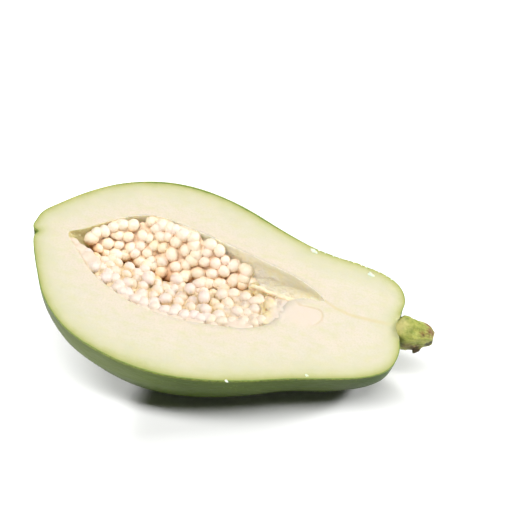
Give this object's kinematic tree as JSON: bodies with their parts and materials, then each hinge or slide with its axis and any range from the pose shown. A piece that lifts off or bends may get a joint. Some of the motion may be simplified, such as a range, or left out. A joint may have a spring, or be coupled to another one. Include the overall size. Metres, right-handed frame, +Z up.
{
  "type": "papaya half",
  "caption": "Half of a green papaya cut lengthwise, lying on its skin with the cut face leaning to the front, seeds in place and a short stem.",
  "frame": {"origin": "middle of the bounding box, on the surface that the half lies on", "axes": "+Z up, +X from the blossom end to the stem end, -Y the side that the cut face leans towards"},
  "size_m": [0.2172, 0.1134, 0.084],
  "materials": {
    "fruit": "smooth, slightly glossy green skin and moist cream flesh",
    "stem": "matt yellow-green with brown scars",
    "seeds": "moist cream white"
  },
  "bodies": {
    "root": {"fruit_half": "fruit", "stem": "stem", "seeds_far_wall": "seeds", "seeds_near_wall": "seeds"}
  },
  "joints": []
}
